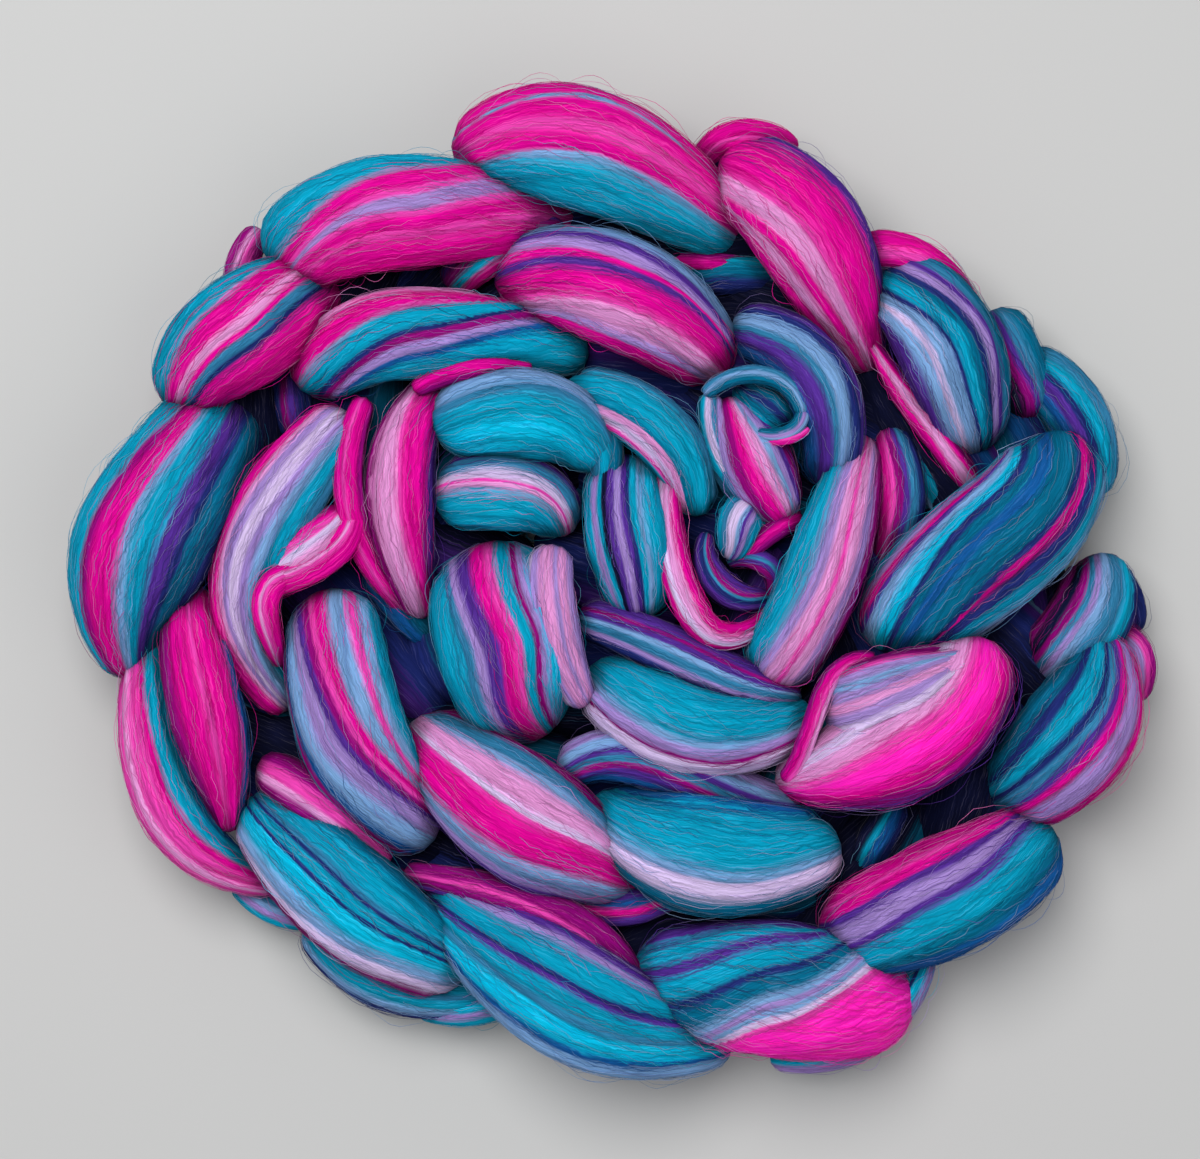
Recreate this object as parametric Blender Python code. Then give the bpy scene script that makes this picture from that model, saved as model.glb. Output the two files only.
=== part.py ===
"""A chain-plaited braid of wool roving, coiled into a round that lies on a table.

Run it with: blender --background --python part.py
Metres, +Z up. The origin is on the table plane, under the middle of the coil.

The roving is one soft continuous strand, so the braid is one solid. Each visible turn of the
strand is a lobe: a spindle that rises from under one neighbour and dives under the next. LOBES
has one row for each of them. The backs of the links, which the coil rests on, are worked out
from the lobes above them.
"""

import math
from collections import namedtuple

import bmesh
import bpy
import numpy as np

MM = 0.001

# Roving and coil, in millimetres
ROUND_LIMIT = 100.0  # a lobe this wide would have lost its whole thickness: wide lobes lie flatter
ROUNDNESS = 1.06  # thickness over width of a very thin strand
BACK_WIDTH = 34.0
BACK_HEIGHT = 11.5  # of a back's centre line above the table
BACK_OVERLAP = 24.0  # how far a back runs on past the lobes that it joins
BACK_SLANT = -24.0  # degrees to the run of the braid, against the slant of the lobes
RIM_BACK_INSET = 0.925  # the rim's backs sit a little inside the lobes that hang over them
INNER_BACK_INSET = 0.97

# Surface
STEPS_ALONG = 22
STEPS_ROUND = 16
CROWDING = 0.6  # how far the rings crowd towards a lobe's ends: 0 is even
VOXEL = 2.0
SMOOTHING = 2
SMOOTHING_SHARE = 0.5  # of the way to the middle of its neighbours that a point moves each time
TRIANGLES = 9600
TABLE_CUT = 0.7  # shaved off below, so that each back has a flat spot
ON_THE_CUT = 0.0001  # a point this near the cut counts as on it
TEAL = (0.08, 0.32, 0.42, 1)

Lobe = namedtuple(
    "Lobe", "name ax ay bx by leave arrive width_a width width_b belly z_a z z_b"
)
# From A to B as seen from above. LEAVE and ARRIVE are the angles in degrees between the chord
# and the strand at A and at B, positive where the strand bulges to the left of its way.
# BELLY is where the lobe is widest, from 0 at A to 1 at B. Z is the centre line's height.
LOBES = [
    Lobe(*row)
    for row in (
        # rim of the coil, clockwise from the upper left
        ("rim1", -88, 74, -13, 96, 31, 11, 15, 30, 14, 0.48, 18, 33, 20),
        ("rim1out", -91, 87, -93, 72, -35, -35, 5, 7, 5, 0.50, 14, 16, 14),
        ("rim2", -37, 108, 34, 90, 38, 22, 11, 34, 16, 0.50, 20, 33, 20),
        ("rim3", 27, 108, 66, 54, 32, 16, 18, 29, 7, 0.42, 20, 33, 22),
        ("rim3knot", 22, 106, 47, 110, 55, 35, 8, 10, 7, 0.50, 18, 25, 20),
        ("rim4", 68, 84, 93, 29, 18, 12, 14, 28, 13, 0.50, 20, 33, 20),
        ("rim4edge", 65, 89, 95, 62, 38, 32, 8, 8, 5, 0.40, 24, 28, 18),
        ("rim4inner", 66, 55, 91, 23, -6, -6, 6, 8, 6, 0.50, 26, 29, 22),
        ("rim4under", 72, 40, 85, 16, 0, 0, 6, 9, 7, 0.50, 16, 20, 16),
        ("rim4out", 97, 70, 106, 42, 8, 12, 13, 15, 13, 0.50, 16, 21, 18),
        ("rim5out", 105, 57, 117, 22, 48, 46, 12, 14, 9, 0.50, 16, 19, 21),
        ("rim5", 107, 40, 72, -16, 36, 6, 18, 36, 24, 0.45, 24, 33, 20),
        ("rim6", 126, 6, 110, -21, 30, 15, 14, 23, 20, 0.50, 16, 23, 18),
        ("rim6loop", 127, -13, 133, -26, 55, 45, 5, 8, 5, 0.50, 16, 20, 15),
        ("rim6under", 129, 3, 133, -13, 10, 15, 8, 10, 8, 0.50, 12, 13, 12),
        ("rim7", 124, -14, 93, -60, 33, 28, 8, 29, 15, 0.50, 25, 32, 18),
        ("rim8", 110, -61, 51, -88, 22, 12, 17, 28, 9, 0.50, 18, 32, 20),
        ("rim9", 8, -101, 74, -100, 4, -8, 24, 31, 24, 0.50, 20, 32, 20),
        ("rim9under", 43, -118, 80, -94, -40, -36, 9, 12, 8, 0.50, 17, 20, 18),
        ("rim10", -48, -76, 26, -121, -8, -12, 10, 30, 15, 0.50, 22, 33, 19),
        ("rim10top", -50, -73, 5, -104, 14, 32, 7, 10, 6, 0.50, 24, 31, 24),
        ("rim11", -92, -54, -39, -98, -8, -8, 16, 28, 12, 0.50, 20, 33, 20),
        ("rim11top", -93, -50, -56, -72, 14, 8, 8, 10, 5, 0.40, 24, 29, 26),
        ("rim11under", -78, -88, -28, -104, -32, -28, 9, 15, 9, 0.45, 12, 15, 13),
        ("rim11loop", -46, -108, -21, -105, -15, -10, 6, 8, 6, 0.50, 12, 14, 13),
        ("rim12", -108, -2, -96, -63, 6, 8, 12, 23, 6, 0.55, 22, 34, 24),
        ("rim12out", -115, -10, -87, -75, -36, -52, 9, 15, 7, 0.50, 20, 26, 16),
        ("rim13", -99, 45, -123, -19, -14, -40, 25, 33, 10, 0.45, 20, 33, 19),
        ("rim14", -113, 41, -68, 71, 32, 12, 12, 27, 16, 0.50, 21, 32, 19),
        ("rim14under", -84, 53, -80, 38, 0, 0, 8, 10, 8, 0.50, 16, 18, 16),
        # second turn, clockwise
        ("mid1", -75, 50, -7, 57, 45, 15, 16, 22, 12, 0.45, 24, 34, 22),
        ("mid2", -30, 76, 29, 53, 38, 25, 18, 29, 14, 0.50, 22, 34, 22),
        ("mid2top", -41, 75, -13, 90, 15, 25, 7, 9, 5, 0.40, 20, 25, 24),
        ("mid3", 28, 66, 52, 24, 55, 48, 15, 23, 12, 0.50, 24, 33, 22),
        ("mid4", 66, 36, 40, -25, -4, 6, 11, 22, 17, 0.55, 22, 34, 25),
        ("mid4side", 70, 40, 68, 6, 20, 25, 9, 13, 8, 0.50, 20, 25, 20),
        ("mid6", 93, -18, 46, -50, 18, 6, 20, 37, 14, 0.55, 27, 36, 24),
        ("mid6rim", 86, -16, 50, -54, 95, 45, 10, 13, 7, 0.50, 28, 32, 26),
        ("mid6edge", 60, -18, 43, -51, -15, 20, 6, 8, 6, 0.50, 31, 36, 27),
        ("mid7", -5, -54, 58, -66, -33, -24, 12, 31, 17, 0.50, 24, 34, 24),
        ("mid7top", -13, -46, 47, -54, 50, -10, 9, 11, 7, 0.40, 28, 31, 24),
        ("mid8", -5, -19, 51, -29, -45, -52, 17, 21, 12, 0.45, 24, 34, 24),
        ("mid8top", -8, -7, 47, -29, 15, -12, 11, 14, 8, 0.50, 26, 30, 25),
        ("mid9", -51, -35, 5, -76, 3, 3, 13, 32, 10, 0.50, 24, 34, 21),
        ("mid9under", -4, -83, 18, -74, -20, -20, 6, 9, 5, 0.50, 20, 24, 22),
        ("mid9gap", -49, -16, -48, -29, 0, 0, 8, 10, 8, 0.50, 16, 18, 16),
        ("mid10", -70, -2, -45, -65, -18, -34, 17, 27, 14, 0.50, 25, 34, 22),
        ("mid11", -66, 44, -82, -31, -34, -58, 14, 16, 10, 0.25, 27, 33, 21),
        ("mid11blue", -67, 40, -91, -8, 0, -35, 8, 10, 6, 0.40, 29, 33, 27),
        ("mid11fold", -63, 45, -64, 4, -14, 34, 8, 9, 9, 0.50, 31, 37, 36),
        ("mid11hook", -62, 10, -86, -3, 56, -21, 9, 9, 8, 0.50, 36, 36, 34),
        ("mid11tail", -82, -1, -83, -21, -57, -38, 7, 9, 5, 0.50, 34, 33, 25),
        ("mid11pink", -67, 19, -87, 0, 20, -5, 6, 10, 5, 0.50, 31, 35, 31),
        ("mid12", -45, 50, -47, -5, -38, -25, 11, 18, 7, 0.45, 28, 33, 22),
        ("mid12tail", -64, 8, -49, -10, -5, -5, 5, 6, 4, 0.50, 25, 25, 20),
        ("mid12under", -62, 4, -46, -15, -5, -5, 7, 10, 7, 0.50, 18, 20, 17),
        # heart of the coil
        ("heart1", -45, 38, -2, 28, 40, 60, 17, 23, 10, 0.45, 31, 37, 28),
        ("heart1turn", -5, 46, -5, 18, 30, 30, 8, 9, 6, 0.40, 31, 32, 26),
        ("heart1strip", -49, 46, -20, 55, 5, 20, 6, 6, 4, 0.50, 31, 33, 29),
        ("heart2", -44, 23, -10, 12, 15, 25, 17, 22, 11, 0.45, 28, 34, 26),
        ("heart3", -28, 11, -14, -38, -12, -15, 30, 33, 13, 0.35, 25, 34, 22),
        ("heart3side", -13, 10, -8, -33, -12, -10, 11, 13, 11, 0.20, 29, 36, 25),
        ("heart4", -7, 50, 23, 18, 50, 50, 12, 14, 9, 0.45, 28, 35, 27),
        ("heart4stripe", -1, 45, 20, 21, 36, 36, 5, 6, 4, 0.50, 30, 33, 28),
        ("heart5", 1, 32, -3, 1, -20, -15, 7, 9, 7, 0.50, 26, 31, 26),
        ("heart5violet", 6, 33, 3, -1, -5, -5, 6, 8, 7, 0.50, 26, 32, 26),
        ("heart5blue", 9, 32, 12, -12, -12, -8, 8, 11, 9, 0.50, 27, 32, 26),
        ("heart5hook", 13, 28, 41, -4, -38, -95, 7, 12, 6, 0.60, 30, 34, 28),
        ("heart5swirl", 23, 13, 37, 6, -70, -120, 7, 9, 5, 0.50, 28, 30, 27),
        ("heart6", 23, 39, 49, 41, 85, 80, 6, 7, 6, 0.50, 32, 35, 31),
        ("heart6side", 26, 46, 46, 17, -30, -20, 8, 10, 6, 0.45, 31, 34, 28),
        ("heart6fan", 40, 38, 46, 18, 5, 10, 16, 15, 5, 0.30, 32, 34, 28),
        ("heart6hollow", 33, 48, 44, 40, 0, 0, 9, 12, 9, 0.50, 24, 26, 24),
        ("heart6tie", 46, 20, 31, 6, -10, -5, 6, 6, 5, 0.50, 29, 32, 28),
        ("heart7", 26, 18, 29, 6, 100, 60, 5, 6, 4, 0.50, 30, 32, 27),
        ("heart7knob", 28, 11, 34, 19, 0, 0, 5, 7, 5, 0.50, 28, 31, 28),
    )
]


# The lobes that follow one another round each turn of the coil, for the backs under them
TURNS = (
    (
        "rim1 rim2 rim3 rim4 rim5 rim7 rim8 rim9 rim10 rim11 rim12 rim13 rim14".split(),
        RIM_BACK_INSET,
    ),
    (
        "mid1 mid2 mid3 mid4side mid6 mid7 mid9 mid10 mid11".split(),
        INNER_BACK_INSET,
    ),
    (
        "mid12 heart1 heart4 mid4 mid8 heart3".split(),
        INNER_BACK_INSET,
    ),
)
# Strands that cross under the middle of the coil, where no back reaches
CROSSINGS = [
    Lobe(*row)
    for row in (
        ("low1", -12, 32, 30, 20, 0, 0, 20, 30, 20, 0.50, 12, 12, 12),
        ("low2", -20, 12, 22, 2, 0, 0, 20, 30, 20, 0.50, 12, 12, 12),
        ("low3", -50, 4, -36, -24, 0, 0, 16, 26, 16, 0.50, 12, 12, 12),
        ("low4", -52, -66, -22, -78, 0, 0, 10, 18, 10, 0.50, 11, 13, 11),
        ("low5", 94, 56, 113, 18, 6, 8, 10, 19, 10, 0.50, 12, 13, 12),
    )
]


def arm(angle):
    """Length of a Bezier handle, over the chord, that makes a round arc of this angle."""
    return 2 / (3 * (1 + math.cos(math.radians(angle))))


def seen_from_above(lobe, t):
    """Points of a lobe's centre line at t, from 0 to 1, and its unit directions, in the plane."""
    start = np.array((lobe.ax, lobe.ay), float)
    end = np.array((lobe.bx, lobe.by), float)
    chord = math.hypot(*(end - start))
    heading = math.atan2(*(end - start)[::-1])
    out = heading + math.radians(lobe.leave)
    home = heading - math.radians(lobe.arrive)
    first = start + chord * arm(lobe.leave) * np.array((math.cos(out), math.sin(out)))
    last = end - chord * arm(lobe.arrive) * np.array((math.cos(home), math.sin(home)))
    t = t[:, None]
    s = 1 - t
    points = s**3 * start + 3 * s * s * t * first + 3 * s * t * t * last + t**3 * end
    slopes = s * s * (first - start) + 2 * s * t * (last - first) + t * t * (end - last)
    return points, slopes / np.linalg.norm(slopes, axis=1, keepdims=True)


def swell(lobe, t, at_a, at_belly, at_b):
    """A measure that rises from its value at A to the belly and falls to its value at B."""
    rising = t < lobe.belly
    share = np.where(rising, t / lobe.belly, (1 - t) / (1 - lobe.belly))
    ends = np.where(rising, at_a, at_b)
    return ends + (at_belly - ends) * np.sin(share * math.pi / 2)


def round_off(t, start, end):
    """1 along a lobe, and falling to 0 as a quarter circle over its first and last stretch."""
    near = np.minimum(t / start, (1 - t) / end).clip(0, 1)
    return np.sqrt(1 - (1 - near) ** 2)


def stations():
    """Where a lobe's rings stand: closer together where its ends are rounded off."""
    even = np.linspace(0, 1, STEPS_ALONG + 1)
    crowded = (1 - np.cos(even * math.pi)) / 2
    return crowded * CROWDING + even * (1 - CROWDING)


def lobe_mesh(lobe):
    """Points and faces of one lobe in metres: elliptical rings along its centre line."""
    t = stations()
    points, ways = seen_from_above(lobe, t)
    length = np.linalg.norm(np.diff(points, axis=0), axis=1).sum()
    width = swell(lobe, t, lobe.width_a, lobe.width, lobe.width_b)
    width *= round_off(t, lobe.width_a / 2 / length, lobe.width_b / 2 / length)
    thickness = width * (ROUNDNESS - width / ROUND_LIMIT)
    height = swell(lobe, t, lobe.z_a, lobe.z, lobe.z_b)
    centre = np.column_stack((points, height))
    across = np.column_stack((-ways[:, 1], ways[:, 0], np.zeros(len(t))))
    turn = np.arange(STEPS_ROUND) * 2 * math.pi / STEPS_ROUND
    rings = (
        centre[1:-1, None]
        + across[1:-1, None] * (width[1:-1, None] / 2 * np.cos(turn))[..., None]
        + np.array((0, 0, 1)) * (thickness[1:-1, None] / 2 * np.sin(turn))[..., None]
    )
    rings = rings.reshape(-1, 3)
    vertices = np.vstack((rings, centre[0], centre[-1]))
    vertices[:, 2] = vertices[:, 2].clip(0, None)
    start_pole, end_pole = len(rings), len(rings) + 1
    faces = []
    for ring in range(len(t) - 3):
        for step in range(STEPS_ROUND):
            here = ring * STEPS_ROUND + step
            beside = ring * STEPS_ROUND + (step + 1) % STEPS_ROUND
            faces.append((here, beside, beside + STEPS_ROUND, here + STEPS_ROUND))
    last_ring = start_pole - STEPS_ROUND
    for step in range(STEPS_ROUND):
        beside = (step + 1) % STEPS_ROUND
        faces.append((start_pole, beside, step))
        faces.append((end_pole, last_ring + step, last_ring + beside))
    return vertices * MM, faces


def back_between(name, before, after, inset):
    """The back of a link, low down under two lobes that follow each other, slanting the other way."""
    bellies = []
    for lobe in (before, after):
        point, _ = seen_from_above(lobe, np.array((lobe.belly,)))
        bellies.append(point[0])
    middle = (bellies[0] + bellies[1]) / 2 * inset
    run = bellies[1] - bellies[0]
    heading = math.atan2(run[1], run[0]) - math.radians(BACK_SLANT)
    half = (math.hypot(*run) + BACK_OVERLAP) / 2
    reach = half * np.array((math.cos(heading), math.sin(heading)))
    ends = (*(middle - reach), *(middle + reach))
    widths = (BACK_WIDTH / 2, BACK_WIDTH, BACK_WIDTH / 2)
    heights = (BACK_HEIGHT, BACK_HEIGHT, BACK_HEIGHT)
    return Lobe(name, *ends, 0, 0, *widths, 0.5, *heights)


def backs():
    """The crossings and the backs of every turn, as lobes."""
    by_name = {lobe.name: lobe for lobe in LOBES}
    found = list(CROSSINGS)
    for names, inset in TURNS:
        for name, following in zip(names, names[1:] + names[:1]):
            back = back_between(name + "_back", by_name[name], by_name[following], inset)
            found.append(back)
    return found


def mesh_object(name, vertices, faces):
    mesh = bpy.data.meshes.new(name)
    mesh.from_pydata(vertices.tolist(), [], faces)
    thing = bpy.data.objects.new(name, mesh)
    bpy.context.scene.collection.objects.link(thing)
    return thing


def all_lobes_mesh():
    vertices, faces, count = [], [], 0
    for lobe in LOBES + backs():
        points, rings = lobe_mesh(lobe)
        vertices.append(points)
        faces.extend(tuple(corner + count for corner in face) for face in rings)
        count += len(points)
    return np.vstack(vertices), faces


def use(thing, kind, **settings):
    """Applies one modifier to the object."""
    modifier = thing.modifiers.new(kind.title(), kind)
    for name, value in settings.items():
        setattr(modifier, name, value)
    graph = bpy.context.evaluated_depsgraph_get()
    made = bpy.data.meshes.new_from_object(thing.evaluated_get(graph))
    thing.modifiers.clear()
    thing.data = made


def keep_outer_skin(mesh):
    """Deletes every separate island but the widest: the others are pockets closed in the coil."""
    shape = bmesh.new()
    shape.from_mesh(mesh)
    shape.verts.ensure_lookup_table()
    waiting = set(shape.verts)
    islands = []
    while waiting:
        seed = waiting.pop()
        island, edge = [seed], [seed]
        while edge:
            vertex = edge.pop()
            for link in vertex.link_edges:
                other = link.other_vert(vertex)
                if other in waiting:
                    waiting.remove(other)
                    island.append(other)
                    edge.append(other)
        islands.append(island)
    islands.sort(key=len)
    inner = [vertex for island in islands[:-1] for vertex in island]
    bmesh.ops.delete(shape, geom=inner, context="VERTS")
    shape.to_mesh(mesh)
    shape.free()


def shave_flat(mesh, height):
    """Cuts the mesh off at this height, closes it there, and sets the cut on the table plane."""
    shape = bmesh.new()
    shape.from_mesh(mesh)
    everything = shape.verts[:] + shape.edges[:] + shape.faces[:]
    cut = bmesh.ops.bisect_plane(
        shape,
        geom=everything,
        dist=ON_THE_CUT * MM,
        plane_co=(0, 0, height),
        plane_no=(0, 0, 1),
        clear_inner=True,
    )
    rim = [piece for piece in cut["geom_cut"] if isinstance(piece, bmesh.types.BMEdge)]
    bmesh.ops.holes_fill(shape, edges=rim, sides=0)
    bmesh.ops.triangulate(shape, faces=shape.faces[:])
    bmesh.ops.translate(shape, verts=shape.verts[:], vec=(0, 0, -height))
    bmesh.ops.recalc_face_normals(shape, faces=shape.faces[:])
    shape.to_mesh(mesh)
    shape.free()


def stand_on_origin(mesh):
    """Moves the mesh sideways until the middle of its box is over the origin."""
    points = np.array([vertex.co for vertex in mesh.vertices])
    middle = (points.min(axis=0) + points.max(axis=0)) / 2
    for vertex in mesh.vertices:
        vertex.co.x -= middle[0]
        vertex.co.y -= middle[1]
    print("box middle was at", (middle / MM).round(3)[:2], "mm")


def wool():
    material = bpy.data.materials.new("dyed wool")
    material.use_nodes = True
    shader = material.node_tree.nodes["Principled BSDF"]
    shader.inputs["Base Color"].default_value = TEAL
    shader.inputs["Roughness"].default_value = 0.75
    shader.inputs["Metallic"].default_value = 0
    return material


def braid():
    thing = mesh_object("braid", *all_lobes_mesh())
    use(thing, "REMESH", mode="VOXEL", voxel_size=VOXEL * MM)
    keep_outer_skin(thing.data)
    use(thing, "SMOOTH", factor=SMOOTHING_SHARE, iterations=SMOOTHING)
    faces = sum(len(polygon.vertices) - 2 for polygon in thing.data.polygons)
    use(thing, "DECIMATE", ratio=TRIANGLES / faces)
    shave_flat(thing.data, TABLE_CUT * MM)
    stand_on_origin(thing.data)
    thing.data.materials.append(wool())
    thing.data.shade_smooth()
    return thing


for old in list(bpy.data.objects):
    bpy.data.objects.remove(old)
braid()
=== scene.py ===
import math

import bpy
import numpy as np
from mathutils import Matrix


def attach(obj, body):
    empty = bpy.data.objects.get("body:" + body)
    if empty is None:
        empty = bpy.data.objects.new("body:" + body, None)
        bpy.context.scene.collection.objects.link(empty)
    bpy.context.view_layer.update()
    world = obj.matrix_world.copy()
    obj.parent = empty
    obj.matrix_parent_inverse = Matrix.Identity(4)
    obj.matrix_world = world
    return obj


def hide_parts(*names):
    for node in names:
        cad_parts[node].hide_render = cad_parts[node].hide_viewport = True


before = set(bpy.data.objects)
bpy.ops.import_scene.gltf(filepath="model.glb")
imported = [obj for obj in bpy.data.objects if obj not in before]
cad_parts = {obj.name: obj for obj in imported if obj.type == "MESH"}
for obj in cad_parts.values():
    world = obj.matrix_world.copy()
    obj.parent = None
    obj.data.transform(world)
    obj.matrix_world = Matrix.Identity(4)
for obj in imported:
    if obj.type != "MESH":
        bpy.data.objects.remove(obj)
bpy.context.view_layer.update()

mm = 0.001
boxMiddle = (0.146, 0.010)  # mm that the coil moves sideways, so that it stands on the origin
tableCut = 0.7  # mm pressed flat under the lowest turns

# Dyes, as they look in soft daylight; night, near black, is painted shade for wool lying in shadow deep
# between and under turns
dyes = {
    "magenta": (212, 0, 140), "cerise": (252, 28, 184), "plum": (140, 4, 114), "rose": (222, 62, 166),
    "blush": (214, 140, 198), "lilac": (154, 126, 192), "pearl": (204, 182, 222), "powder": (114, 154, 200),
    "haze": (46, 120, 160), "sky": (0, 178, 214), "teal": (0, 150, 184), "sea": (0, 102, 136),
    "blue": (16, 84, 150), "violet": (80, 42, 140), "navy": (30, 42, 108), "night": (14, 18, 50),
}


def linear(colour):
    # sRGB to the linear light that shaders use
    share = np.array(colour, float) / 255
    return np.where(share <= 0.04045, share / 12.92, ((share + 0.055) / 1.055) ** 2.4)


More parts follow.
